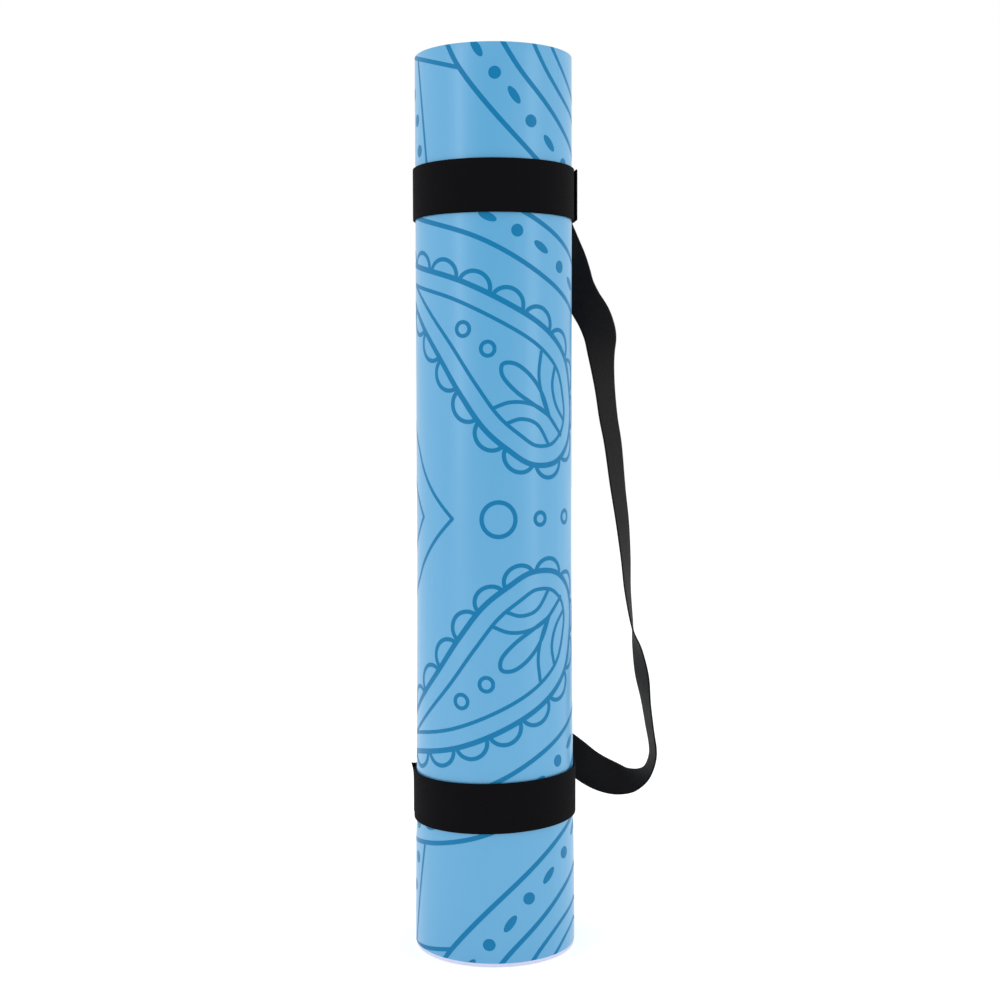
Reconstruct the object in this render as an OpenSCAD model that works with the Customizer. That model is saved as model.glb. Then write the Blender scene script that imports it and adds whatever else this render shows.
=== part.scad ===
// Tightly rolled foam mat standing on end, with two elastic loops and a webbing carry strap.
// Millimetres. The origin is the middle of the roll's lower end, +Z runs up the roll,
// and the strap hangs on the +X side, behind the XZ plane.

/* [Mat] */

// Width of the sheet, which is the height of the roll
mat_width = 610; // [500:5:700]
// Thickness of the foam under the printed layer
foam_thickness = 3.7; // [2:0.1:6]
// Thickness of the printed layer on the outer face of the sheet
print_thickness = 0.3; // [0.2:0.1:0.6]
// Air between one turn of the roll and the next
wrap_gap = 0.25; // [0.2:0.05:1]
// Radius of the hollow up the middle of the roll
core_radius = 20.25; // [15:0.25:30]
// Number of turns in the roll
wrap_count = 8; // [5:1:10]
// Bare strip along the lower edge that the print stops short of
bare_edge = 2.5; // [1:0.5:10]

/* [Elastic loops] */

// Width of the elastic
loop_width = 35; // [25:1:45]
// Thickness of the elastic
loop_thickness = 1.5; // [1:0.1:2.5]
// Air between the roll and a loop
loop_clearance = 0.3; // [0.3:0.05:1]
// Distance from the roll's upper end down to the middle of the upper loop
upper_loop_inset = 92; // [80:1:150]
// Height of the middle of the lower loop
lower_loop_height = 109; // [60:1:150]

/* [Carry strap] */

// Width of the webbing
strap_width = 25; // [18:1:30]
// Thickness of the webbing
strap_thickness = 1.2; // [0.8:0.1:2]
// Length of webbing sewn down on each loop
sewn_length = 22; // [16:1:24]

/* [Hidden] */

$fn = 96;

sheet_thickness = foam_thickness + print_thickness;
wrap_pitch = sheet_thickness + wrap_gap;
roll_radius = core_radius + (wrap_count - 1) * wrap_pitch + sheet_thickness;

// The turns step out to the next radius in one sector at the back of the roll
tip_angle = 90;
ramp_angle = 90;
ramp_steps = 18;

loop_inner = roll_radius + loop_clearance;
loop_outer = loop_inner + loop_thickness;
lap_outer = loop_outer + loop_thickness;
upper_loop_height = mat_width - upper_loop_inset;
upper_lap = [-4, 62];
lower_lap = [118, 178];

// The webbing is sewn over the upper loop's lap and straight onto the lower loop
upper_seat_angle = 38;
upper_seat_radius = lap_outer;
lower_seat_angle = 58;
lower_seat_radius = loop_outer;
seat_margin = 1.5;
upper_seat_low = upper_loop_height + loop_width / 2 - seat_margin - sewn_length;
lower_seat_low = lower_loop_height - loop_width / 2 + seat_margin;
lower_seat_high = lower_seat_low + sewn_length;

stitch_length = 2.8;
stitch_width = 0.7;
stitch_rise = 0.35;
stitch_inset = 3;
box_corner = 2;
box_row_share = 0.7;
box_stitches = 4;
seam_stitches = 7;

// Route of the webbing's centre line from the upper loop to the lower one, and the
// direction its width faces there, drawn for the sizes named below
drawn_radius = 57.9;
drawn_low = 115;
drawn_high = 512;
strap_route = [
    [49, 38.5, 504], [53, 41, 494], [57.5, 44.5, 482], [60.5, 47, 471],
    [63, 49, 460], [67.5, 50, 449], [73.5, 50, 438], [77.5, 50, 426],
    [78.5, 50, 414], [79.5, 50.5, 403], [81.5, 51, 386], [84, 51.5, 366],
    [87.5, 52, 346], [91, 53, 316], [94.5, 53.5, 290], [97, 54, 264],
    [98.5, 54, 240], [102, 54, 214], [105.5, 54, 198], [109, 54, 178],
    [112, 54, 158], [115, 54, 138], [117, 54, 126], [117, 54, 117],
    [114, 54, 109], [109, 53.5, 105], [103, 53, 103], [96, 52, 102.5],
    [88, 51.5, 103.5], [79, 51, 106], [71.5, 50.5, 109.5], [65, 50, 114],
    [59.5, 50, 118.5], [50, 51.5, 126],
    [44, 53, 130], [39.5, 54, 132.5], [34.5, 52, 133], [31, 49, 130],
    [30.5, 48.5, 125]
];
strap_facing = [
    [0.62, -0.78, 0], [0.68, -0.73, 0], [0.78, -0.63, 0], [0.85, -0.53, 0],
    [0.92, -0.4, 0], [0.97, -0.23, 0], [1, 0, 0], [0.97, 0.24, 0],
    [0.82, 0.57, 0], [0.65, 0.76, 0], [0.53, 0.85, 0], [0.5, 0.87, 0],
    [0.5, 0.87, 0], [0.4, 0.92, 0], [0.33, 0.94, 0], [0.18, 0.98, 0],
    [0.1, 1, 0], [0, 1, 0], [-0.25, 0.97, 0], [-0.34, 0.94, 0],
    [-0.2, 0.98, 0], [-0.15, 0.99, 0], [-0.13, 0.99, 0], [-0.1, 0.99, 0],
    [-0.1, 0.99, 0.05], [-0.1, 0.95, 0.25], [-0.05, 0.87, 0.48], [0, 0.65, 0.76],
    [0.05, 0.3, 0.95], [0.2, 0, 0.98], [0.35, 0, 0.94], [0.45, 0, 0.89],
    [0.5, -0.05, 0.86], [0.47, -0.2, 0.86],
    [0.45, -0.28, 0.85], [0.33, -0.61, 0.72], [0.39, -0.82, 0.42], [0.61, -0.78, 0.12],
    [0.83, -0.55, 0]
];

function smooth(t) = t * t * (3 - 2 * t);
function on_circle(r, a) = [r * cos(a), r * sin(a)];
function unit(v) = v / norm(v);
function turn_radius(i) = core_radius + i * wrap_pitch;

// One point of a turn's step out, t of the way round the sector
function ramp_point(i, offset, t) =
    on_circle(turn_radius(i) + offset + wrap_pitch * smooth(t), tip_angle + ramp_angle * t);

module turn_arc(i, inner, thickness, bottom) {
    rotate([0, 0, tip_angle + ramp_angle])
        rotate_extrude(angle = 360 - ramp_angle)
            translate([turn_radius(i) + inner, bottom])
                square([thickness, mat_width - bottom]);
}

module turn_ramp(i, inner, thickness, bottom) {
    translate([0, 0, bottom])
        linear_extrude(height = mat_width - bottom)
            polygon(concat(
                [for (k = [0:ramp_steps]) ramp_point(i, inner, k / ramp_steps)],
                [for (k = [ramp_steps:-1:0]) ramp_point(i, inner + thickness, k / ramp_steps)]
            ));
}

module spiral(inner, thickness, bottom) {
    for (i = [0:wrap_count - 1])
        turn_arc(i, inner, thickness, bottom);
    for (i = [0:wrap_count - 2])
        turn_ramp(i, inner, thickness, bottom);
}

module foam_mat() {
    color([0.86, 0.87, 0.94])
        spiral(0, foam_thickness, 0);
}

module printed_layer() {
    color([0.45, 0.7, 0.86])
        spiral(foam_thickness, print_thickness, bare_edge);
}

// A curved plate standing on a cylinder of the given radius
module plate(radius, angles, thickness, low, height) {
    rotate([0, 0, angles[0]])
        rotate_extrude(angle = angles[1] - angles[0])
            translate([radius, low])
                square([thickness, height]);
}

// A full ring of elastic, with its end lapped over it between two angles
module elastic_loop(height, lap) {
    rotate([0, 0, lap[1] + 90])
        rotate_extrude()
            translate([loop_inner, height - loop_width / 2])
                square([loop_thickness, loop_width]);
    plate(loop_inner + loop_thickness / 2, lap, loop_thickness * 1.5, height - loop_width / 2,
        loop_width);
}

module upper_loop() {
    color([0.07, 0.07, 0.08])
        elastic_loop(upper_loop_height, upper_lap);
}

module lower_loop() {
    color([0.07, 0.07, 0.08])
        elastic_loop(lower_loop_height, lower_lap);
}

function half_spread(radius) = strap_width / 2 / radius * 180 / PI;

module strap_end(radius, angle, low) {
    plate(radius, [angle - half_spread(radius), angle + half_spread(radius)],
        strap_thickness, low, sewn_length);
}

module upper_strap_end() {
    color([0.1, 0.1, 0.11])
        strap_end(upper_seat_radius, upper_seat_angle, upper_seat_low);
}

module lower_strap_end() {
    color([0.1, 0.1, 0.11])
        strap_end(lower_seat_radius, lower_seat_angle, lower_seat_low);
}

module stitch(radius, angle, z, length, height) {
    spread = length / radius * 180 / PI;
    plate(radius, [angle - spread / 2, angle + spread / 2], stitch_rise, z - height / 2, height);
}

module stitch_column(radius, angle, low, high, count) {
    for (k = [0:count - 1])
        stitch(radius, angle, low + (high - low) * k / (count - 1), stitch_width, stitch_length);
}

module stitch_row(radius, from, to, z, count) {
    for (k = [0:count - 1])
        stitch(radius, from + (to - from) * k / (count - 1), z, stitch_length, stitch_width);
}

// Four lines of stitches in a box on a sewn end of the webbing
module stitch_box(radius, angle, low) {
    side = half_spread(radius) * (1 - 2 * stitch_inset / strap_width);
    reach = side * box_row_share;
    high = low + sewn_length;
    first = low + stitch_inset + box_corner;
    last = high - stitch_inset - box_corner;
    stitch_column(radius, angle - side, first, last, box_stitches);
    stitch_column(radius, angle + side, first, last, box_stitches);
    stitch_row(radius, angle - reach, angle + reach, low + stitch_inset / 2, box_stitches);
    stitch_row(radius, angle - reach, angle + reach, high - stitch_inset / 2, box_stitches);
}

// A line of stitches across each end of a loop's lap
module lap_seams(lap, height) {
    inset = stitch_inset / lap_outer * 180 / PI;
    low = height - loop_width / 2 + stitch_inset;
    high = height + loop_width / 2 - stitch_inset;
    stitch_column(lap_outer, lap[0] + inset, low, high, seam_stitches);
    stitch_column(lap_outer, lap[1] - inset, low, high, seam_stitches);
}

module upper_stitching() {
    color([0.16, 0.16, 0.17]) {
        stitch_box(upper_seat_radius + strap_thickness, upper_seat_angle, upper_seat_low);
        lap_seams(upper_lap, upper_loop_height);
    }
}

module lower_stitching() {
    color([0.16, 0.16, 0.17]) {
        stitch_box(lower_seat_radius + strap_thickness, lower_seat_angle, lower_seat_low);
        lap_seams(lower_lap, lower_loop_height);
    }
}

// The drawn route is stretched to meet both sewn ends at the chosen sizes
function seat_point(radius, angle, z) = concat(on_circle(radius + strap_thickness / 2, angle), z);
function seat_facing(angle) = [sin(angle), -cos(angle), 0];
girth = (upper_seat_radius + strap_thickness / 2) / drawn_radius;
rise = (upper_seat_low - lower_seat_high) / (drawn_high - drawn_low);
function fitted(p) = [p[0] * girth, p[1] * girth, lower_seat_high + (p[2] - drawn_low) * rise];

route = concat(
    [seat_point(upper_seat_radius, upper_seat_angle, upper_seat_low)],
    [for (p = strap_route) fitted(p)],
    [seat_point(lower_seat_radius, lower_seat_angle, lower_seat_high)]
);
facing = concat(
    [seat_facing(upper_seat_angle)], strap_facing, [seat_facing(lower_seat_angle)]
);
route_end = len(route) - 1;

function at_end(i) = min(max(i, 0), route_end);
function between(list, i) =
    (9 * (list[i] + list[i + 1]) - list[at_end(i - 1)] - list[at_end(i + 2)]) / 16;
function refined(list) =
    [for (i = [0:route_end]) for (h = [0:(i < route_end ? 1 : 0)])
        h == 0 ? list[i] : between(list, i)];

path = refined(route);
widths = refined(facing);
path_end = len(path) - 1;

// The first and last sections lie flat against the sewn ends
function heading(i) =
    i == 0 || i == path_end ? [0, 0, -1] : unit(path[i + 1] - path[i - 1]);
function across(i) = unit(widths[i] - (widths[i] * heading(i)) * heading(i));
function outward(i) = cross(heading(i), across(i));

half_width = strap_width / 2;
half_thickness = strap_thickness / 2;
selvedge = strap_thickness / 4;
strap_section = [
    [half_width, selvedge], [half_width - selvedge, half_thickness],
    [selvedge - half_width, half_thickness], [-half_width, selvedge],
    [-half_width, -selvedge], [selvedge - half_width, -half_thickness],
    [half_width - selvedge, -half_thickness], [half_width, -selvedge]
];
sides = len(strap_section);

module carry_strap() {
    points = [for (i = [0:path_end]) for (s = strap_section)
        path[i] + s[0] * across(i) + s[1] * outward(i)];
    walls = [for (i = [0:path_end - 1]) for (k = [0:sides - 1])
        let (a = i * sides + k, b = i * sides + (k + 1) % sides)
            each [[a, b, b + sides], [a, b + sides, a + sides]]];
    caps = [
        [for (k = [sides - 1:-1:0]) k],
        [for (k = [0:sides - 1]) path_end * sides + k]
    ];
    color([0.1, 0.1, 0.11])
        polyhedron(points, concat(walls, caps));
}

foam_mat();
printed_layer();
upper_loop();
upper_strap_end();
upper_stitching();
lower_loop();
lower_strap_end();
lower_stitching();
carry_strap();
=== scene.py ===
import math

import bmesh
import bpy
import numpy as np
from mathutils import Matrix, Vector


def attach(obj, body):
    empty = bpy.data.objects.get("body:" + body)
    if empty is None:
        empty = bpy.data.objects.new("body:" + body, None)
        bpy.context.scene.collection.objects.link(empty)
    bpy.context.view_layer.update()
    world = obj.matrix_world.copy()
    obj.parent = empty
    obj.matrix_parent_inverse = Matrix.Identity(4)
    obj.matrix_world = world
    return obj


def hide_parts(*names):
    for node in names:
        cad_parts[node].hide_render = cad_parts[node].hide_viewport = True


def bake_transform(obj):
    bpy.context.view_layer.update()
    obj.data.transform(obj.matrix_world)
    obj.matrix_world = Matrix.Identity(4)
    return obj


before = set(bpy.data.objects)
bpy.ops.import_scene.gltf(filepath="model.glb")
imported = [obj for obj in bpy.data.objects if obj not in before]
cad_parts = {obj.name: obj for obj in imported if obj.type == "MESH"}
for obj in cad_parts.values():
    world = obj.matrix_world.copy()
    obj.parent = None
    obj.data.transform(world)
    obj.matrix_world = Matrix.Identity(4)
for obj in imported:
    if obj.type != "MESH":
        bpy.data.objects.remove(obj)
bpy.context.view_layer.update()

MM = 0.001
TAU = 2 * math.pi

# ---------------------------------------------------------------- sizes, as the CAD model has them
CORE_R = 20.25 * MM
FOAM_T = 3.7 * MM
FILM_T = 0.3 * MM
SHEET_T = FOAM_T + FILM_T
TURN_GAP = 0.25 * MM
PITCH = SHEET_T + TURN_GAP
TURNS = 8
ROLL_H = 610 * MM
ROLL_R = CORE_R + (TURNS - 1) * PITCH + SHEET_T
BARE = 2.5 * MM  # the print stops this far above the sheet's lower edge
TIP_ANGLE = 90  # where the sheet's outer tip lies, in degrees
RAMP = 90  # the degrees over which the sheet climbs from one turn to the next
LOOP_GAP = 0.3 * MM
LOOP_IN = ROLL_R + LOOP_GAP
LOOP_T = 1.5 * MM
LOOP_OUT = LOOP_IN + LOOP_T
LAP_OUT = LOOP_OUT + LOOP_T
LOOP_W = 35 * MM
UPPER_Z = 518 * MM
UPPER_LAP = (-4, 62)
STRAP_W = 25 * MM
STRAP_T = 1.2 * MM
SEWN = 22 * MM

# Measured in the photograph instead: the lower loop is narrower and lower than in the CAD
# model, and leans. Each fit is the share of its CAD radius that a loop has.
LOWER_W = 34 * MM
LOWER_Z = 107.5 * MM
LOWER_LAP = (118, 172)
LOWER_TILT = 0.03
UPPER_FIT, LOWER_FIT = 0.9885, 1.0105
# The lower loop has room to slide down over the spreading end of the roll
UPPER_SLACK, LOWER_SLACK = 0.0, 0.28 * MM

# Where the strap's ends are sewn: (radius, degrees, lower edge)
UPPER_SEAT = (LAP_OUT * UPPER_FIT, 38, 512 * MM)
LOWER_SEAT = (LOOP_OUT * LOWER_FIT, 58, 92.5 * MM)


# ---------------------------------------------------------------- camera, lights and floor
def aim(location, target):
    return (Vector(target) - Vector(location)).to_track_quat("-Z", "Y").to_euler()


CAMERA_AT = (0.0040, -1.0748, 0.3755)
CAMERA_PITCH = math.pi / 2 - 0.0612
CAMERA_ROLL = -0.0021
LENS, SENSOR = 56.04, 36

camera_data = bpy.data.cameras.new("camera")
camera_data.lens = LENS
camera_data.sensor_width = SENSOR
camera_data.clip_start = 0.01
camera_data.clip_end = 50
camera = bpy.data.objects.new("camera", camera_data)
bpy.context.scene.collection.objects.link(camera)
camera.matrix_world = (
    Matrix.Translation(CAMERA_AT)
    @ Matrix.Rotation(CAMERA_PITCH, 4, "X")
    @ Matrix.Rotation(CAMERA_ROLL, 4, "Z")
)
bpy.context.scene.camera = camera


def area_light(name, location, target, size, energy, colour):
    data = bpy.data.lights.new(name, "AREA")
    data.shape = "RECTANGLE"
    data.size, data.size_y = size
    data.energy = energy
    data.color = colour
    light = bpy.data.objects.new(name, data)
    light.location = location
    light.rotation_euler = aim(location, target)
    bpy.context.scene.collection.objects.link(light)


area_light("key_left", (-1.3, -1.1, 0.9), (0, 0, 0.32), (0.5, 1.6), 5, (1.0, 0.97, 1.0))
area_light("fill_right", (1.5, -0.9, 0.6), (0, 0, 0.3), (0.5, 1.6), 4, (0.97, 0.99, 1.0))
area_light("top_soft", (0.2, -0.2, 1.9), (0, 0, 0.3), (1.2, 1.2), 3, (1.0, 1.0, 1.0))

# The world is white to the camera, and lights the object less from straight in front than
# from the sides and behind.
world = bpy.data.worlds.new("studio")
bpy.context.scene.world = world
world.use_nodes = True
sky = world.node_tree.nodes["Background"]
sky.inputs["Color"].default_value = (1, 1, 1, 1)
direction = world.node_tree.nodes.new("ShaderNodeTexCoord")
split = world.node_tree.nodes.new("ShaderNodeSeparateXYZ")
front = world.node_tree.nodes.new("ShaderNodeMapRange")
front.inputs["From Min"].default_value = -1.0
front.inputs["From Max"].default_value = 0.0
glow = world.node_tree.nodes.new("ShaderNodeValToRGB")
for place, grey in ((0.04, 0.25), (0.20, 0.85), (1.0, 1.0)):
    stop = glow.color_ramp.elements.new(place)
    stop.color = (grey, grey, grey, 1)
glow.color_ramp.elements.remove(glow.color_ramp.elements[0])
ray = world.node_tree.nodes.new("ShaderNodeLightPath")
level = world.node_tree.nodes.new("ShaderNodeMath")
level.operation = "MAXIMUM"
world.node_tree.links.new(direction.outputs["Generated"], split.inputs[0])
world.node_tree.links.new(split.outputs["Y"], front.inputs["Value"])
world.node_tree.links.new(front.outputs[0], glow.inputs[0])
world.node_tree.links.new(glow.outputs[0], level.inputs[0])
world.node_tree.links.new(ray.outputs["Is Camera Ray"], level.inputs[1])
world.node_tree.links.new(level.outputs[0], sky.inputs["Strength"])
bpy.context.scene.view_settings.view_transform = "Standard"


# ---------------------------------------------------------------- materials
# The weaves' waves in radians per metre, each from its pitch in millimetres
RIB_WAVE = TAU * 1000 / 0.875
KNIT_WAVE = TAU * 1000 / 1.1
TWILL_WAVE = TAU * 1000 / 2.0
CROSS_WAVE = TAU * 1000 / 0.78
CHEVRON, CHEVRON_STEP = 3.1, 1.55


class Nodes:
    """A short way to write a node tree."""

    def __init__(self, name):
        self.material = bpy.data.materials.new(name)
        self.material.use_nodes = True
        self.tree = self.material.node_tree
        self.shader = self.tree.nodes["Principled BSDF"]

    def add(self, kind, inputs=None, **settings):
        node = self.tree.nodes.new(kind)
        for key, value in settings.items():
            setattr(node, key, value)
        for key, value in (inputs or {}).items():
            self.put(node.inputs[key], value)
        return node

    def put(self, socket, value):
        if isinstance(value, bpy.types.NodeSocket):
            self.tree.links.new(value, socket)
        else:
            socket.default_value = value

    def math(self, operation, a, b=0.0, clamp=False):
        node = self.add("ShaderNodeMath", {0: a, 1: b}, operation=operation)
        node.use_clamp = clamp
        return node.outputs[0]

    def uv(self):
        split = self.add("ShaderNodeSeparateXYZ")
        coords = self.add("ShaderNodeTexCoord")
        self.tree.links.new(coords.outputs["UV"], split.inputs[0])
        return split.outputs[0], split.outputs[1], coords.outputs["UV"]

    def object_coords(self, scale):
        coords = self.add("ShaderNodeTexCoord")
        mapping = self.add("ShaderNodeMapping", {"Scale": scale})
        self.tree.links.new(coords.outputs["Object"], mapping.inputs["Vector"])
        return mapping.outputs[0]

    def noise(self, vector, scale, detail=3.0, rough=0.5):
        node = self.add(
            "ShaderNodeTexNoise",
            {"Vector": vector, "Scale": scale, "Detail": detail, "Roughness": rough},
        )
        return node.outputs[0]

    def mix(self, factor, a, b):
        node = self.add("ShaderNodeMix", data_type="RGBA")
        self.put(node.inputs[0], factor)
        self.put(node.inputs[6], a)
        self.put(node.inputs[7], b)
        return node.outputs[2]

    def bump(self, height, strength, distance, normal=None):
        inputs = {"Height": height, "Strength": strength, "Distance": distance}
        node = self.add("ShaderNodeBump", inputs)
        if normal is not None:
            self.tree.links.new(normal, node.inputs["Normal"])
        return node.outputs[0]

    def finish(self, **sockets):
        for key, value in sockets.items():
            self.put(self.shader.inputs[key.replace("_", " ")], value)
        return self.material


def film_material():
    n = Nodes("printed_film")
    streak = n.noise(n.object_coords((90, 90, 2.5)), 1.0, 2.0)
    cloud = n.noise(n.object_coords((14, 14, 9)), 1.0, 2.0)
    grain = n.noise(n.object_coords((1, 1, 1)), 2600, 2.0)
    colour = n.mix(cloud, (0.093, 0.349, 0.597, 1), (0.103, 0.367, 0.622, 1))
    rough = n.math("ADD", n.math("MULTIPLY", streak, 0.12), 0.24)
    soft = n.bump(streak, 0.20, 0.0012)
    fine = n.bump(grain, 0.10, 0.00006, soft)
    return n.finish(
        Base_Color=colour, Roughness=rough, Normal=fine, Specular_IOR_Level=0.6
    )


def ink_material():
    n = Nodes("printed_ink")
    cloud = n.noise(n.object_coords((20, 20, 20)), 1.0, 2.0)
    grain = n.noise(n.object_coords((1, 1, 1)), 2600, 2.0)
    colour = n.mix(cloud, (0.003, 0.168, 0.362, 1), (0.005, 0.179, 0.382, 1))
    fine = n.bump(grain, 0.10, 0.00006)
    return n.finish(
        Base_Color=colour, Roughness=0.4, Normal=fine, Specular_IOR_Level=0.15
    )


def foam_material():
    n = Nodes("pale_foam")
    cells = n.add(
        "ShaderNodeTexVoronoi", {"Vector": n.object_coords((1, 1, 1)), "Scale": 1500.0}
    ).outputs["Distance"]
    mottle = n.noise(n.object_coords((1, 1, 1)), 260, 4.0)
    colour = n.mix(mottle, (0.60, 0.62, 0.80, 1), (0.70, 0.72, 0.88, 1))
    fine = n.bump(cells, 0.55, 0.00018)
    return n.finish(
        Base_Color=colour, Roughness=0.85, Normal=fine, Specular_IOR_Level=0.15
    )


def elastic_material():
    n = Nodes("black_elastic")
    along, across, vector = n.uv()
    ribs = n.math("SINE", n.math("MULTIPLY", across, RIB_WAVE))
    knit = n.math("SINE", n.math("MULTIPLY", along, KNIT_WAVE))
    offset = n.math("SINE", n.math("ADD", n.math("MULTIPLY", along, KNIT_WAVE), ribs))
    height = n.math("ADD", n.math("MULTIPLY", ribs, 0.3), n.math("MULTIPLY", offset, 0.5))
    fuzz = n.noise(vector, 2200, 3.0)
    height = n.math("ADD", height, n.math("MULTIPLY", fuzz, 0.8))
    # The colour is painted lighter and darker along each knit loop, a painted shade of the knit,
    # and lighter where the fuzz noise is high, which is random fibre tone.
    shade = n.math("MULTIPLY", n.math("ADD", knit, 1.0), 0.25, clamp=True)
    weave_shading_and_fuzz = n.math("MULTIPLY", n.math("ADD", shade, fuzz), 0.5, clamp=True)
    colour = n.mix(weave_shading_and_fuzz, (0.0022, 0.0021, 0.0028, 1), (0.0062, 0.0058, 0.0068, 1))
    return n.finish(
        Base_Color=colour,
        Roughness=0.9,
        Normal=n.bump(height, 0.5, 0.00018),
        Sheen_Weight=0.01,
        Sheen_Roughness=0.5,
        Specular_IOR_Level=0.05,
    )


def webbing_material():
    n = Nodes("black_webbing")
    along, across, vector = n.uv()
    a = n.math("MULTIPLY", along, TWILL_WAVE)
    zig = n.math("PINGPONG", n.math("MULTIPLY", across, 1000), CHEVRON)
    b = n.math("MULTIPLY", zig, TAU / CHEVRON_STEP)
    twill = n.math("SINE", n.math("ADD", a, b))
    cross = n.math("SINE", n.math("MULTIPLY", across, CROSS_WAVE))
    fuzz = n.noise(vector, 2600, 3.0)
    height = n.math("ADD", n.math("MULTIPLY", twill, 0.5), n.math("MULTIPLY", cross, 0.3))
    height = n.math("ADD", height, n.math("MULTIPLY", fuzz, 0.7))
    # The colour is painted lighter on the raised twill ridges, a painted highlight, and lighter
    # where the fuzz noise is high, which is random fibre tone.
    weave_shading_and_fuzz = n.math("MULTIPLY", n.math("ADD", n.math("MULTIPLY", twill, 0.4), fuzz), 0.6, clamp=True)
    colour = n.mix(weave_shading_and_fuzz, (0.0028, 0.0027, 0.0032, 1), (0.009, 0.0085, 0.0095, 1))
    return n.finish(
        Base_Color=colour,
        Roughness=0.7,
        Normal=n.bump(height, 0.55, 0.0002),
        Sheen_Weight=0.03,
        Sheen_Roughness=0.4,
        Specular_IOR_Level=0.12,
    )


def thread_material():
    n = Nodes("black_thread")
    twist = n.noise(n.object_coords((1, 1, 1)), 3500, 2.0)
    colour = n.mix(twist, (0.012, 0.012, 0.013, 1), (0.03, 0.03, 0.032, 1))
    return n.finish(
        Base_Color=colour,
        Roughness=0.55,
        Normal=n.bump(twist, 0.4, 0.0001),
        Specular_IOR_Level=0.35,
    )


def floor_material():
    n = Nodes("pale_floor")
    speck = n.noise(n.object_coords((1, 1, 1)), 40, 3.0)
    colour = n.mix(speck, (0.86, 0.86, 0.86, 1), (0.88, 0.88, 0.88, 1))
    return n.finish(
        Base_Color=colour,
        Roughness=0.9,
        Emission_Color=(1, 1, 1, 1),
        Emission_Strength=0.3,
        Specular_IOR_Level=0.0,
    )


# ---------------------------------------------------------------- mesh helpers
def build(name, verts, faces, material, body=None, uvs=None, smooth=True):
    mesh = bpy.data.meshes.new(name)
    mesh.from_pydata([tuple(map(float, v)) for v in verts], [], [tuple(f) for f in faces])
    if uvs is not None:
        layer = mesh.uv_layers.new(name="UVMap")
        loops = np.zeros(len(mesh.loops), np.int32)
        mesh.loops.foreach_get("vertex_index", loops)
        layer.data.foreach_set("uv", np.asarray(uvs, np.float32)[loops].ravel())
    mesh.polygons.foreach_set("use_smooth", [smooth] * len(mesh.polygons))
    # Normals face out, and the flat end caps, which have more than four corners, stay sharp
    edit = bmesh.new()
    edit.from_mesh(mesh)
    bmesh.ops.recalc_face_normals(edit, faces=edit.faces)
    for face in edit.faces:
        if len(face.verts) > 4:
            for edge in face.edges:
                edge.smooth = False
    edit.to_mesh(mesh)
    edit.free()
    mesh.update()
    obj = bpy.data.objects.new(name, mesh)
    bpy.context.scene.collection.objects.link(obj)
    mesh.materials.append(material)
    if body:
        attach(obj, body)
    return obj


def tube(rings, closed_along=False):
    """Faces that join equal rings of points one after another, with flat ends unless closed."""
    count, sides = len(rings), len(rings[0])
    faces = []
    for i in range(count if closed_along else count - 1):
        j = (i + 1) % count
        for k in range(sides):
            m = (k + 1) % sides
            faces.append((i * sides + k, i * sides + m, j * sides + m, j * sides + k))
    if not closed_along:
        faces.append(tuple(range(sides - 1, -1, -1)))
        faces.append(tuple((count - 1) * sides + k for k in range(sides)))
    return [p for ring in rings for p in ring], faces


def rounded_box(low_a, high_a, low_b, high_b, radius, steps=3, splits_b=1):
    """A rounded rectangle in two coordinates, its long sides split evenly along the second."""
    corners = [
        (high_a, low_b, -90), (high_a, high_b, 0), (low_a, high_b, 90), (low_a, low_b, 180)
    ]
    points = []
    for a, b, start in corners:
        ca = a - radius if a == high_a else a + radius
        cb = b - radius if b == high_b else b + radius
        for k in range(steps + 1):
            t = math.radians(start + 90 * k / steps)
            points.append((ca + radius * math.cos(t), cb + radius * math.sin(t)))
        if start in (-90, 90):
            end = high_b - radius if start == -90 else low_b + radius
            for k in range(1, splits_b):
                points.append((a, cb + (end - cb) * k / splits_b))
    return points


def smoothstep(t):
    t = min(max(t, 0.0), 1.0)
    return t * t * (3 - 2 * t)


# How far the roll's outline strays from a cylinder: (height, share of the radius). It is
# tight from its upper end to below the middle, and spreads below, beyond the lower loop.
SWELL = (
    (0, 1.0285), (0.045, 1.026), (0.075, 1.020), (0.087, 1.0125), (0.109, 1.0095),
    (0.132, 1.0085), (0.168, 1.0015), (0.21, 0.9965), (0.27, 0.989), (0.35, 0.9885),
    (0.40, 0.989), (0.47, 0.989), (0.50, 0.9885), (0.536, 0.9885), (0.61, 0.9875),
)


def waist(z):
    """The share of its radius that the roll has at a height."""
    return float(np.interp(z, *zip(*SWELL)))


# ---------------------------------------------------------------- the rolled mat
def turn_start(angle):
    """Inner radius of the sheet, that many degrees round from the roll's inner end."""
    turn, rest = divmod(angle, 360)
    step = smoothstep((rest - (360 - RAMP)) / RAMP)
    return CORE_R + (turn + step) * PITCH


def spiral_rings(section, step=3.75):
    """Rings of points for a (thickness, height) section carried round every turn of the roll."""
    total = TURNS * 360 - RAMP
    rings, uvs = [], []
    count = int(round(total / step))
    for i in range(count + 1):
        angle = total * i / count
        r = turn_start(angle)
        azimuth = math.radians(TIP_ANGLE + RAMP + angle)
        run = angle / 360 * TAU * (CORE_R + angle / 720 * PITCH)
        ring = []
        for t, z in section:
            reach = (r + t) * waist(z)
            ring.append((reach * math.cos(azimuth), reach * math.sin(azimuth), z))
            uvs.append((run, z))
        rings.append(ring)
    return rings, uvs


materials = {
    "film": film_material(),
    "ink": ink_material(),
    "foam": foam_material(),
    "elastic": elastic_material(),
    "webbing": webbing_material(),
    "thread": thread_material(),
}

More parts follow.
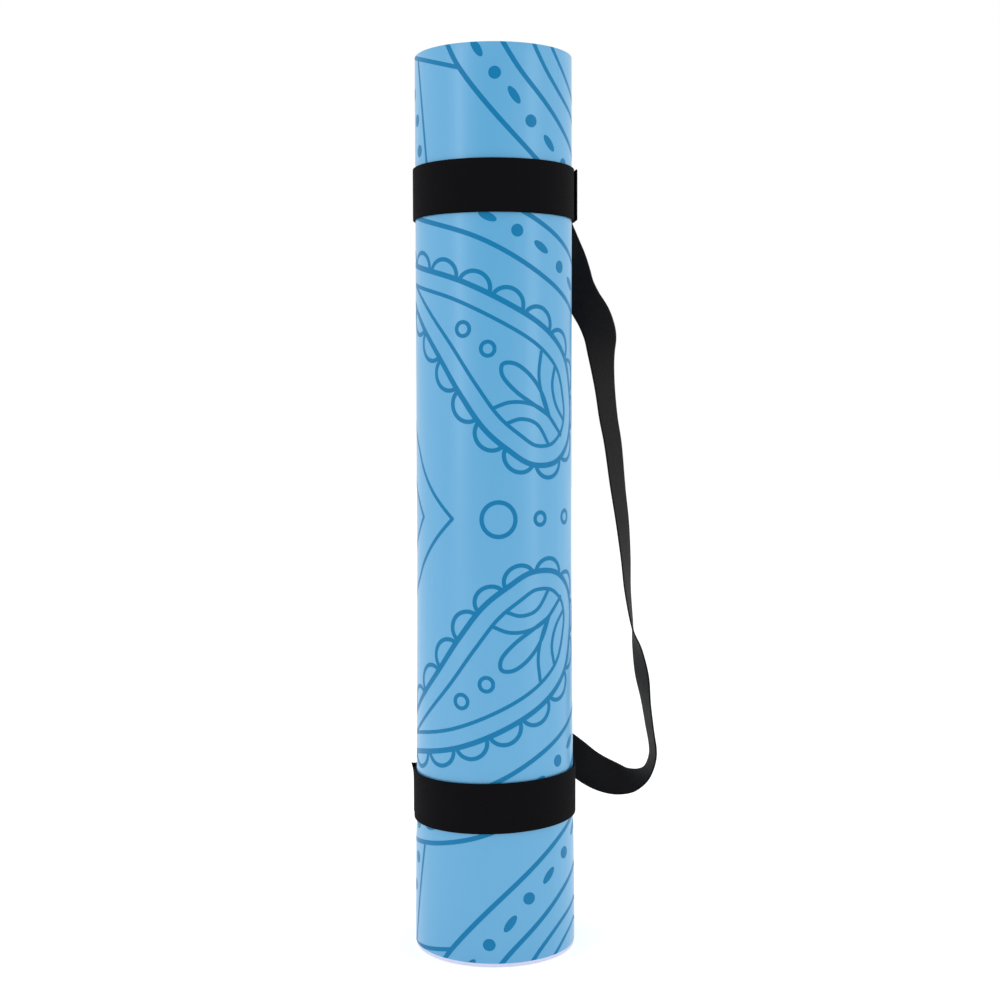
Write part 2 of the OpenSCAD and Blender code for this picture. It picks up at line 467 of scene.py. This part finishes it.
# The strap's route is made first, because everything else is drawn round it.
STRAP_ROUTE = [
    (0.049, 0.0385, 0.504), (0.053, 0.041, 0.494), (0.0575, 0.0445, 0.482),
    (0.0605, 0.047, 0.471), (0.063, 0.049, 0.460), (0.0675, 0.050, 0.449),
    (0.0735, 0.050, 0.438), (0.0775, 0.050, 0.426), (0.0785, 0.050, 0.414),
    (0.0795, 0.0505, 0.403), (0.0815, 0.051, 0.386), (0.084, 0.0515, 0.366),
    (0.0875, 0.052, 0.346), (0.091, 0.053, 0.316), (0.0945, 0.0535, 0.290),
    (0.097, 0.054, 0.264), (0.0985, 0.054, 0.240), (0.102, 0.054, 0.214),
    (0.1055, 0.054, 0.198), (0.109, 0.054, 0.178), (0.112, 0.054, 0.158),
    (0.115, 0.054, 0.138), (0.117, 0.054, 0.126), (0.117, 0.054, 0.117),
    (0.114, 0.054, 0.108), (0.109, 0.0535, 0.1035), (0.103, 0.053, 0.1012),
    (0.096, 0.052, 0.1008), (0.088, 0.0515, 0.1022), (0.079, 0.051, 0.1055),
    (0.0715, 0.0505, 0.1095), (0.065, 0.050, 0.114), (0.0595, 0.050, 0.1185),
    (0.050, 0.0515, 0.126), (0.044, 0.053, 0.130), (0.0395, 0.054, 0.1325),
    (0.0345, 0.052, 0.133), (0.031, 0.049, 0.130), (0.0305, 0.0485, 0.125),
]
STRAP_FACING = [
    (0.62, -0.78, 0), (0.68, -0.73, 0), (0.78, -0.63, 0), (0.85, -0.53, 0),
    (0.92, -0.4, 0), (0.97, -0.23, 0), (1, 0, 0), (0.97, 0.24, 0),
    (0.85, 0.53, 0), (0.74, 0.67, 0), (0.64, 0.77, 0), (0.6, 0.8, 0),
    (0.57, 0.82, 0), (0.51, 0.86, 0), (0.45, 0.89, 0), (0.35, 0.94, 0),
    (0.24, 0.97, 0), (0.09, 1, 0), (-0.2, 0.98, 0), (-0.34, 0.94, 0),
    (-0.2, 0.98, 0), (-0.15, 0.99, 0), (-0.13, 0.99, 0), (-0.1, 0.99, 0),
    (-0.1, 0.99, 0.05), (-0.1, 0.95, 0.25), (-0.05, 0.88, 0.46), (0, 0.74, 0.67),
    (0.05, 0.52, 0.85), (0.18, 0.3, 0.93), (0.33, 0.12, 0.94), (0.45, 0, 0.89),
    (0.5, -0.05, 0.86), (0.47, -0.2, 0.86), (0.45, -0.28, 0.85), (0.33, -0.61, 0.72),
    (0.39, -0.82, 0.42), (0.61, -0.78, 0.12), (0.83, -0.55, 0),
]
JOIN_AT = 14


def polar(radius, degrees, z=0.0):
    a = math.radians(degrees)
    return (radius * math.cos(a), radius * math.sin(a), z)


def spline(points, steps):
    """A smooth line through the points, with that many steps between each two."""
    p = np.array(points, float)
    ends = np.vstack([2 * p[0] - p[1], p, 2 * p[-1] - p[-2]])
    out = []
    for i in range(len(p) - 1):
        a, b, c, d = ends[i : i + 4]
        for k in range(steps):
            t = k / steps
            out.append(
                0.5
                * (
                    2 * b
                    + (c - a) * t
                    + (2 * a - 5 * b + 4 * c - d) * t**2
                    + (3 * b - a - 3 * c + d) * t**3
                )
            )
    out.append(p[-1])
    return np.array(out)


def webbing_section(across_points=21):
    """Half the webbing's section from edge to edge, with a rounded, slightly thick selvedge."""
    top = []
    for k in range(across_points):
        s = -1 + 2 * k / (across_points - 1)
        edge = math.sqrt(max(0.0, 1 - max(0.0, (abs(s) - 0.955) / 0.045) ** 2))
        bead = 1.0 + 0.12 * math.exp(-(((abs(s) - 0.93) / 0.04) ** 2))
        top.append((s * STRAP_W / 2, STRAP_T / 2 * 0.92 * edge * bead))
    return top


def ribbon(name, path, facing, material, cup, run_start=0.0):
    """Webbing swept along a path. cup is how much each section still follows the loop's curve."""
    tangents = np.gradient(path, axis=0)
    tangents /= np.linalg.norm(tangents, axis=1)[:, None]
    wide = facing - (facing * tangents).sum(1)[:, None] * tangents
    wide /= np.linalg.norm(wide, axis=1)[:, None]
    out = np.cross(tangents, wide)
    top = webbing_section()
    section = top + [(s, -h) for s, h in reversed(top[1:-1])]
    rings, uvs = [], []
    run = run_start
    for i in range(len(path)):
        if i:
            run += float(np.linalg.norm(path[i] - path[i - 1]))
        ring = []
        for s, h in section:
            sag = -s * s / (2 * LAP_OUT) * cup[i]
            ring.append(path[i] + s * wide[i] + (h + sag) * out[i])
            uvs.append((run, s))
        rings.append(ring)
    verts, faces = tube(rings)
    return build(name, verts, faces, material, uvs=uvs)


def seat_centre(seat, top):
    radius, angle, low = seat
    return polar(radius + STRAP_T / 2, angle, low + (SEWN if top else 0.0))


def seat_across(seat):
    a = math.radians(seat[1])
    return (math.sin(a), -math.cos(a), 0.0)


STEPS = 8
route = [seat_centre(UPPER_SEAT, False), *STRAP_ROUTE, seat_centre(LOWER_SEAT, True)]
turning = [seat_across(UPPER_SEAT), *STRAP_FACING, seat_across(LOWER_SEAT)]
# It hangs a little nearer the roll than the CAD model's band does, most of all at the top
for k in range(1, len(route) - 6):
    nearer = 1.5 + 1.1 * smoothstep((8 - k) / 3)
    nearer *= MM * smoothstep((len(route) - 6 - k) / 6)
    route[k] = (route[k][0] - nearer, route[k][1], route[k][2])
strap_path = spline(route, STEPS)
strap_facing = spline(turning, STEPS)
cup = np.zeros(len(strap_path))
fade = 3 * STEPS
cup[:fade] = np.linspace(1, 0, fade) ** 1.5
cup[-fade:] = np.linspace(0, 1, fade) ** 1.5
join = JOIN_AT * STEPS

upper_strap = ribbon(
    "strap_upper_half", strap_path[: join + 1], strap_facing[: join + 1],
    materials["webbing"], cup[: join + 1],
)
upper_run = float(np.linalg.norm(np.diff(strap_path[: join + 1], axis=0), axis=1).sum())
lower_strap = ribbon(
    "strap_lower_half", strap_path[join:], strap_facing[join:],
    materials["webbing"], cup[join:], upper_run,
)

FOAM_ROUND, FILM_ROUND = 0.9 * MM, 0.15 * MM
FILM_BOND = 0.04 * MM  # the film reaches this deep into the foam
FILM_TOP = ROLL_H - 0.1 * MM
HEIGHT_SPLITS = 50

section = rounded_box(0.0, FOAM_T, 0.0, ROLL_H, FOAM_ROUND, 4, HEIGHT_SPLITS)
rings, uvs = spiral_rings(section)
verts, faces = tube(rings)
foam = build("mat_foam_roll", verts, faces, materials["foam"], "mat_roll", uvs)
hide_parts("foam_mat")

film_section = rounded_box(
    FOAM_T - FILM_BOND, SHEET_T, BARE, FILM_TOP, FILM_ROUND, 2, HEIGHT_SPLITS
)
rings, uvs = spiral_rings(film_section)
verts, faces = tube(rings)
film = build("mat_printed_film", verts, faces, materials["film"], "mat_roll", uvs)
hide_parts("printed_layer")


# ---------------------------------------------------------------- the printed pattern
# The pattern is drawn flat, in millimetres: u runs round the roll from its front, v up from
# its lower end. It is drawn for a quarter turn each side of the front and for the upper half,
# then mirrored down about MID_V and round the back about FOLD_U. The sheet's outer tip is at
# EDGE_U, where every line is cut. The sheet is rolled slightly askew, so the whole is turned
# by TURN_U, and its lower half drifts by SKEW times the square of the way down from MID_V
# and is drawn up by LIFT, or by LIFT_LEFT more at its left.
INK_PROUD = 0.05 * MM
INK_DEEP = 0.08 * MM
FOLD_U = 0.5 * math.pi * ROLL_R / MM
EDGE_U = 2 * FOLD_U
MID_V = 299.9
TURN_U = 1.9
SKEW = 0.000115
LIFT, LIFT_LEFT = 2, 4
BOLD = 1.1  # every line's width is drawn this much larger
FAR = 999  # beyond the print on either side
FOLD_LAP = 0.7  # lines run on this far past the fold, so that both copies meet
TRIM = 1.2  # and this far past the print's upper and lower edges, where skin() stops them
STROKE_GAP, BLOB_GAP, LINE_GAP = 0.02, 0.03, 0.05  # between ink and EDGE_U
RING_ROOM = 4
PRINT_LOW, PRINT_HIGH = BARE / MM + 0.1, ROLL_H / MM - 0.2


def skin(u, v, proud):
    """A point of the flat pattern on the roll's printed face, in metres."""
    azimuth = -90 + math.degrees(u * MM / ROLL_R)
    back = (azimuth - TIP_ANGLE) % 360
    radius = ROLL_R
    if back < RAMP:
        radius = ROLL_R - PITCH * (1 - smoothstep(back / RAMP))
    z = min(max(v, PRINT_LOW), PRINT_HIGH) * MM
    return polar(radius * waist(z) + proud, azimuth, z)


def askew(u, v):
    """Where a point of the pattern lies on the sheet, which is stretched a little out of true."""
    left = smoothstep((20 - min(u, EDGE_U - u)) / 90)
    lift = (LIFT + LIFT_LEFT * left) * smoothstep((v - 85) / 35) * smoothstep((285 - v) / 60)
    return u - TURN_U - SKEW * max(0.0, MID_V - v) ** 2, v + lift


def clipped(points, axis, low, high):
    """The runs of a line that lie between two values of u (axis 0) or v (axis 1)."""
    runs, run = [], []
    for i, p in enumerate(points):
        inside = low <= p[axis] <= high
        if i:
            q = points[i - 1]
            cuts = []
            for edge in (low, high):
                if (q[axis] - edge) * (p[axis] - edge) < 0:
                    t = (edge - q[axis]) / (p[axis] - q[axis])
                    cuts.append((t, tuple(a + (b - a) * t for a, b in zip(q, p))))
            for _, cut in sorted(cuts):
                run.append(cut)
                if len(run) > 1:
                    runs.append(run)
                    run = []
        if inside:
            run.append(p)
    if len(run) > 1:
        runs.append(run)
    return [r for r in runs if len(r) > 1]


class Ink:
    """Gathers every printed line and dot into one mesh."""

    def __init__(self):
        self.verts, self.faces = [], []

    def _add(self, rings, closed=False):
        verts, faces = tube(rings, closed)
        base = len(self.verts)
        self.verts += verts
        self.faces += [tuple(base + k for k in f) for f in faces]

    def _stroke(self, points, width, closed):
        p = np.array(points, float)
        if closed:
            step = np.roll(p, -1, axis=0) - np.roll(p, 1, axis=0)
        else:
            step = np.gradient(p, axis=0)
        length = np.maximum(np.linalg.norm(step, axis=1), 1e-9)[:, None]
        side = np.stack([-step[:, 1], step[:, 0]], 1) / length * width * BOLD / 2
        if p[:, 0].mean() < EDGE_U:
            low, high = -FAR, EDGE_U - STROKE_GAP
        else:
            low, high = EDGE_U + STROKE_GAP, FAR
        rings = []
        for (u, v), (du, dv) in zip(p, side):
            corners = ((1, -INK_DEEP), (1, INK_PROUD), (-1, INK_PROUD), (-1, -INK_DEEP))
            rings.append([
                skin(min(max(u + k * du, low), high), v + k * dv, lift) for k, lift in corners
            ])
        self._add(rings, closed)

    def line(self, points, width, halves=(False, True)):
        """A line in the upper half, the lower half or both, and its copies round the back."""
        for part in clipped(points, 0, -FOLD_U - FOLD_LAP, FOLD_U + FOLD_LAP):
            for half in halves:
                front = [(u, 2 * MID_V - v) for u, v in part] if half else part
                back = [(EDGE_U - u, v) for u, v in front]
                for copy in (front, back):
                    copy = [askew(u, v) for u, v in copy]
                    for run in clipped(copy, 1, PRINT_LOW - TRIM, PRINT_HIGH + TRIM):
                        for side in ((-FAR, EDGE_U - LINE_GAP), (EDGE_U + LINE_GAP, FAR)):
                            for piece in clipped(run, 0, *side):
                                self._stroke(piece, width, False)

    def ring(self, u, v, radius, width):
        """A ring and its copies: one closed stroke where all of them clear the fold and EDGE_U."""
        count = max(20, int(radius * 5))
        turn = [TAU * k / count for k in range(count)]
        circle = [(u + radius * math.cos(a), v + radius * math.sin(a)) for a in turn]
        if radius + width + RING_ROOM < abs(u) < FOLD_U - radius - width:
            for vv in {v, 2 * MID_V - v}:
                for flip in (False, True):
                    moved = [(EDGE_U - a if flip else a, b - v + vv) for a, b in circle]
                    self._stroke([askew(a, b) for a, b in moved], width, True)
        else:
            self.line(circle + circle[:1], width, (False,) if v == MID_V else (False, True))

    def _blob(self, cu, cv, a, b, tilt):
        """A solid oval, in thin slices so that it follows the roll's curve."""
        t = math.radians(tilt)
        reach = math.hypot(a * math.cos(t), b * math.sin(t))
        lean = (a * a - b * b) * math.sin(t) * math.cos(t) / reach**2
        edge = EDGE_U - cu
        spans = [(-reach, reach)]
        if abs(edge) < reach - 0.1:
            spans = [(-reach, edge - BLOB_GAP), (edge + BLOB_GAP, reach)]
        for low, high in spans:
            count = max(6, int((high - low) / 0.8))
            rings = []
            for k in range(count + 1):
                x = (low + high - (high - low) * math.cos(math.pi * k / count)) / 2
                half = a * b / reach * math.sqrt(max(1 - (x / reach) ** 2, 0.0004))
                corners = ((-1, -INK_DEEP), (-1, INK_PROUD), (1, INK_PROUD), (1, -INK_DEEP))
                rings.append([
                    skin(cu + x, cv + lean * x + side * half, lift) for side, lift in corners
                ])
            self._add(rings)

    def dot(self, u, v, a, b=None, tilt=0.0, drift=(0, 0)):
        """A dot or oval and its copies. Those of the lower half drift a little along their row."""
        b = a if b is None else b
        lower = (u + drift[0], 2 * MID_V - v + drift[1])
        for (uu, vv), sign in (((u, v), 1), (lower, -1)):
            if PRINT_LOW - a < vv < PRINT_HIGH + a:
                self._blob(*askew(uu, vv), a, b, tilt * sign)
                self._blob(*askew(EDGE_U - uu, vv), a, b, -tilt * sign)


def flat_curve(points, step=1.8):
    """A smooth line through points on the flat print, resampled at an even step."""
    fine = spline(points, 24)
    lengths = np.concatenate([[0], np.cumsum(np.linalg.norm(np.diff(fine, axis=0), axis=1))])
    count = max(2, int(lengths[-1] / step))
    at = np.linspace(0, lengths[-1], count + 1)
    return [(np.interp(s, lengths, fine[:, 0]), np.interp(s, lengths, fine[:, 1])) for s in at]


def inside_of(points, inset):
    """A line set in from an outline that runs clockwise, without the parts that would cross."""
    p = np.array(points, float)
    step = np.gradient(p, axis=0)
    step /= np.maximum(np.linalg.norm(step, axis=1), 1e-9)[:, None]
    moved = p + np.stack([step[:, 1], -step[:, 0]], 1) * inset
    keep = [q for q in moved if np.min(np.linalg.norm(p - q, axis=1)) > inset * 0.985]
    return flat_curve(keep[::2] + keep[-1:])


def scallops(outline, spacing, radius, height, width):
    """Half rings side by side along the outside of an outline that runs clockwise."""
    p = np.array(outline, float)
    lengths = np.concatenate([[0], np.cumsum(np.linalg.norm(np.diff(p, axis=0), axis=1))])
    count = round(lengths[-1] / spacing)
    for k in range(count):
        s = lengths[-1] * (k + 0.5) / count
        a, b = (
            np.array([np.interp(x, lengths, p[:, 0]), np.interp(x, lengths, p[:, 1])])
            for x in (s - radius, s + radius)
        )
        centre, way = (a + b) / 2, (b - a) / np.linalg.norm(b - a)
        side = np.array([-way[1], way[0]])
        arc = []
        for m in range(19):
            t = math.pi * m / 18
            arc.append(tuple(centre - way * radius * math.cos(t) + side * height * math.sin(t)))
        ink.line(arc, width)


ink = Ink()

# A leaning drop round a circle at its heart, with its sides drawn out to the left
HEART, HEART_R = (37, 371), 36
heart = [
    (
        HEART[0] + HEART_R * math.cos(math.radians(a)),
        HEART[1] + HEART_R * math.sin(math.radians(a)),
    )
    for a in (18, -8, -36, -70, -104, -136)
]
drop = flat_curve(
    [(-96, 470), (-84, 471), (-64, 468), (-22, 457), (20, 437), (46, 421), (63, 404)]
    + heart
    + [(-5, 360), (-21, 382), (-39, 408), (-57, 428), (-72, 441), (-84, 447), (-96, 448)]
)
ink.line(drop, 3.3)
inner_drop = inside_of(drop, 12.8)
ink.line(inner_drop, 2.3)
scallops(drop, 25, 11.2, 10.3, 2.6)
ink.ring(-19, 425, 4.6, 2.4)
ink.ring(-2, 412, 4.6, 2.4)

# A petal at the drop's heart, with a pair of ribs on each side of it
petal = flat_curve(
    [
        (43, 368), (37, 382), (28, 394), (17, 402), (8, 402),
        (8, 394), (17, 384), (29, 376), (43, 368),
    ],
    1.2,
)
ink.line(petal, 2.5)
for rib in (
    [(1, 373), (13, 377), (27, 376), (40, 370), (56, 354.5)],
    [(10, 363), (21, 366), (33, 362), (43, 348)],
    [(36, 411), (34, 395), (37, 380), (43, 368), (56, 354.5)],
    [(48.5, 400.5), (46, 388), (50, 375), (60, 364)],
):
    ink.line(flat_curve(rib, 1.4), 2.3)

# Rings along the middle, and pointed arches that come in from the left
ink.ring(5, MID_V, 11.4, 2.7)
ink.ring(35, MID_V, 4.2, 2.5)
ink.ring(61, MID_V, 4.2, 2.5)
ink.line(flat_curve([(-27, MID_V - 0.5), (-45, 317), (-57, 332), (-68, 349), (-90, 372)]), 2.3)
ink.line(flat_curve([(-57, MID_V - 0.5), (-66, 310), (-76, 320), (-90, 334)]), 2.3)

# Sweeping bands, each a line and its width, with dots and ovals between the lines
SWEEPS = [
    ([(-90, 507), (-66, 501), (-10, 485), (43, 457), (90, 431)], 2.9),
    ([(-90, 526), (-67, 525), (-30, 519), (5, 509), (43, 491), (90, 466)], 2.9),
    ([(-34, 618), (-21, 594), (5, 562), (32, 536), (58, 517), (90, 503)], 3.0),
    ([(3, 620), (12, 604), (25, 587), (50, 564), (68, 551), (90, 540)], 3.0),
    ([(26, 620), (33, 605), (45, 589), (63, 575), (90, 564)], 2.7),
    ([(40, 620), (47, 608), (58, 596), (71, 586), (90, 578)], 2.4),
    ([(-64, 606), (-57, 572), (-49, 524)], 2.2),
]
for points, width in SWEEPS:
    ink.line(flat_curve(points), width)
ink.line(flat_curve([(-90, 613), (-63, 606), (-21, 594)]), 2.6, (False,))
ink.line(
    flat_curve([(-90, 600), (-64, 598), (-42, 595), (-29, 592.5), (-17.5, 590)]), 2.6, (True,)
)
DOT = 4.2
OVAL = (6.6, 2.7)
END_ROWS_V = 512  # the dots above this drift, mirrored, at the lower end
LEFT_DRIFT, RIGHT_DRIFT = (1, 9), (4.5, 5.5)
for u, v, tilt in (
    (-62, 512, None), (-42, 510, -14), (-22, 505, None), (-2, 498, -24), (18, 489, None),
    (36, 479, -32), (54, 467, None), (71, 457, -34),
    (-9, 606, -58), (3, 590, None), (16, 576, -54), (28, 560, None), (43, 547, -46),
    (59, 535, None), (76, 522, -36),
    (-67, 566, None), (-62, 545, None), (-77, 585, None),
):
    drift = (0, 0)
    if v > END_ROWS_V:
        drift = LEFT_DRIFT if u < -50 else RIGHT_DRIFT
    if tilt is None:
        ink.dot(u, v, DOT, drift=drift)
    else:
        ink.dot(u, v, *OVAL, tilt, drift)

ink_lines = build(
    "mat_ink_lines", ink.verts, ink.faces, materials["ink"], "mat_roll", smooth=False
)


# ---------------------------------------------------------------- the elastic loops
SELVEDGE = 0.7 * MM  # the elastic thins towards its edge over this much
RIB_DEPTH = 0.05 * MM


def elastic_section(inner, outer, low, high, ribs=20):
    """The elastic's section, with fine ribs on both faces and thin rounded edges."""
    count = ribs * 4
    face = []
    for k in range(count + 1):
        s = k / count
        edge = min(s, 1 - s) * (high - low)
        round_off = math.sqrt(max(0.0, 1 - max(0.0, 1 - edge / SELVEDGE) ** 2))
        face.append((s, round_off, RIB_DEPTH * (math.cos(TAU * ribs * s) - 1)))
    mid, half = (inner + outer) / 2, (outer - inner) / 2
    points = [(mid + half * r * 0.98 + h * r, low + s * (high - low)) for s, r, h in face]
    back = [(mid - half * r * 0.98 - h * r, low + s * (high - low)) for s, r, h in face]
    return points + back[::-1][1:-1]


def elastic_ring(name, middle, width, fit, slack, body):
    inner = LOOP_IN + slack
    section = elastic_section(inner, LOOP_OUT, middle - width / 2, middle + width / 2)
    count = 180
    rings, uvs = [], []
    for i in range(count):
        a = 360 * i / count
        ring = []
        for r, z in section:
            ring.append(polar(r * fit, a, z))
            uvs.append((math.radians(a) * LOOP_OUT, z))
        rings.append(ring)
    verts, faces = tube(rings, True)
    return build(name, verts, faces, materials["elastic"], body, uvs)


def elastic_lap(name, middle, width, fit, lap, body, lift):
    """The lapped end of the elastic. lift says how far out and up a point is moved."""
    half = width / 2 - 0.1 * MM
    section = elastic_section(LOOP_OUT - 0.02 * MM, LAP_OUT, middle - half, middle + half)
    centre = (LOOP_OUT + LAP_OUT) / 2
    span = lap[1] - lap[0]
    count = 70
    rings, uvs = [], []
    for i in range(count + 1):
        share = i / count
        end = min(share, 1 - share) * math.radians(span) * LAP_OUT
        squeeze = math.sqrt(max(0.03, 1 - max(0.0, 1 - end / SELVEDGE) ** 2))
        a = lap[0] + span * share
        ring = []
        for r, z in section:
            out, up = lift(share, (z - middle) / half)
            reach = centre + (r - centre) * squeeze + out
            ring.append(polar(reach * fit, a, z + up))
            uvs.append((math.radians(a) * LAP_OUT, z))
        rings.append(ring)
    verts, faces = tube(rings)
    return build(name, verts, faces, materials["elastic"], body, uvs)


def upper_lift(share, height):
    """The lap stands a little off the loop where it starts, past the roll's right side."""
    return 0.9 * MM * max(0.0, 1 - share / 0.13) ** 2, 0.0


def lower_lift(share, height):
    """The loose corner at the end curls out and up."""
    corner = max(0.0, (share - 0.84) / 0.16) ** 2
    top = max(0.0, height) ** 5
    return MM * corner * (0.1 + 2.2 * top), 1.6 * MM * corner * top


def tilted(obj):
    """Leans a piece of the lower loop with it: its right side sits a little higher."""
    for vertex in obj.data.vertices:
        vertex.co.z += LOWER_TILT * vertex.co.x
    return obj


upper_ring = elastic_ring("upper_elastic", UPPER_Z, LOOP_W, UPPER_FIT, UPPER_SLACK, "upper_grip")
upper_flap = elastic_lap(
    "upper_elastic_lap", UPPER_Z, LOOP_W, UPPER_FIT, UPPER_LAP, "upper_grip", upper_lift
)
lower_ring = tilted(
    elastic_ring("lower_elastic", LOWER_Z, LOWER_W, LOWER_FIT, LOWER_SLACK, "lower_grip")
)
lower_flap = tilted(
    elastic_lap(
        "lower_elastic_lap", LOWER_Z, LOWER_W, LOWER_FIT, LOWER_LAP, "lower_grip", lower_lift
    )
)
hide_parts("upper_loop")
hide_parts("lower_loop")


# ---------------------------------------------------------------- sewn strap ends and stitching
def webbing_end(name, seat, body):
    """The end of the webbing, sewn flat on the loop and following its curve."""
    radius, angle, low = seat
    top = webbing_section()
    section = top + [(s, -h) for s, h in reversed(top[1:-1])]
    rings, uvs = [], []
    count = 20
    for i in range(count + 1):
        z = low + SEWN * i / count
        ring = []
        for s, h in section:
            a = angle - math.degrees(s / radius)
            ring.append(polar(radius + STRAP_T / 2 + h, a, z))
            uvs.append((z, s))
        rings.append(ring)
    verts, faces = tube(rings)
    return build(name, verts, faces, materials["webbing"], body, uvs)


upper_end = webbing_end("upper_webbing_end", UPPER_SEAT, "upper_grip")
lower_end = webbing_end("lower_webbing_end", LOWER_SEAT, "lower_grip")
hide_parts("upper_strap_end")
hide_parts("lower_strap_end")

THREAD_R = 0.28 * MM
STITCH_FROM, STITCH_TO = 0.12, 0.88  # the shares of its step that a stitch covers
BOX_SIDE, BOX_END = 3 * MM, 2.2 * MM  # from the webbing's edges to the box of stitches
BOX_STITCHES, CROSS_STITCHES, SEAM_STITCHES = 6, 8, 10
SEAM_GAPS = (6, 9)  # from the lap's ends to its lines of stitches


def stitch_line(start, end, count):
    """Both ends of each stitch from start to end, as (round the loop, up) in metres."""
    a, b = np.array(start, float), np.array(end, float)
    step = (b - a) / count
    for k in range(count):
        yield a + step * (k + STITCH_FROM), a + step * (k + STITCH_TO)


def sew(name, radius, angle, lines, body):
    """Thread stitches on a cylinder: each is a short thread that dips in at both ends."""
    verts, faces = [], []
    for start, end, count in lines:
        for p, q in stitch_line(start, end, count):
            rings = []
            way = (q - p) / np.linalg.norm(q - p)
            side = np.array([-way[1], way[0]])
            for k in range(7):
                t = k / 6
                thick = THREAD_R * math.sqrt(max(0.06, 1 - (2 * t - 1) ** 4))
                rise = THREAD_R * (0.9 - 1.1 * (2 * t - 1) ** 4)
                centre = p + (q - p) * t
                ring = []
                for m in range(8):
                    w = TAU * m / 8
                    across = centre + side * thick * math.cos(w)
                    reach = radius + rise + thick * math.sin(w)
                    ring.append(polar(reach, angle - math.degrees(across[0] / radius), across[1]))
                rings.append(ring)
            v, f = tube(rings)
            base = len(verts)
            verts += v
            faces += [tuple(base + k for k in face) for face in f]
    return build(name, verts, faces, materials["thread"], body)


def box_lines(low):
    """A box of stitches with a cross in it, on a sewn end."""
    half = STRAP_W / 2 - BOX_SIDE
    a, b = low + BOX_END, low + SEWN - BOX_END
    return [
        ((-half, a), (half, a), BOX_STITCHES),
        ((half, a), (half, b), BOX_STITCHES),
        ((half, b), (-half, b), BOX_STITCHES),
        ((-half, b), (-half, a), BOX_STITCHES),
        ((-half, a), (half, b), CROSS_STITCHES),
        ((half, a), (-half, b), CROSS_STITCHES),
    ]


def seam_lines(middle, width, radius, lap, angle):
    """Two lines of stitches across each end of the lap."""
    low, high = middle - width / 2 + 2 * MM, middle + width / 2 - 2 * MM
    lines = []
    for edge, inward in ((lap[0], 1), (lap[1], -1)):
        for gap in SEAM_GAPS:
            u = -math.radians(edge - angle) * radius - inward * gap * MM
            lines.append(((u, low), (u, high), SEAM_STITCHES))
    return lines


parts = []
for label, seat, middle, width, fit, lap, body in (
    ("upper", UPPER_SEAT, UPPER_Z, LOOP_W, UPPER_FIT, UPPER_LAP, "upper_grip"),
    ("lower", LOWER_SEAT, LOWER_Z, LOWER_W, LOWER_FIT, LOWER_LAP, "lower_grip"),
):
    face = LAP_OUT * fit
    box = sew(label + "_box_stitches", seat[0] + STRAP_T, seat[1], box_lines(seat[2]), body)
    seams = seam_lines(middle, width, face, lap, seat[1])
    seam = sew(label + "_lap_stitches", face, seat[1], seams, body)
    if label == "lower":
        tilted(seam)
    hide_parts(label + "_stitching")
    parts += [box, seam]

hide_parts("carry_strap")
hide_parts("carry_strap")
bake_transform(upper_strap)
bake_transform(lower_strap)

FLOOR = 6
FLOOR_DROP = 0.0004
floor = build(
    "floor",
    [(-FLOOR, -FLOOR, 0), (FLOOR, -FLOOR, 0), (FLOOR, FLOOR, 0), (-FLOOR, FLOOR, 0)],
    [(0, 1, 2, 3)],
    floor_material(),
    smooth=False,
)
floor.location.z = -FLOOR_DROP
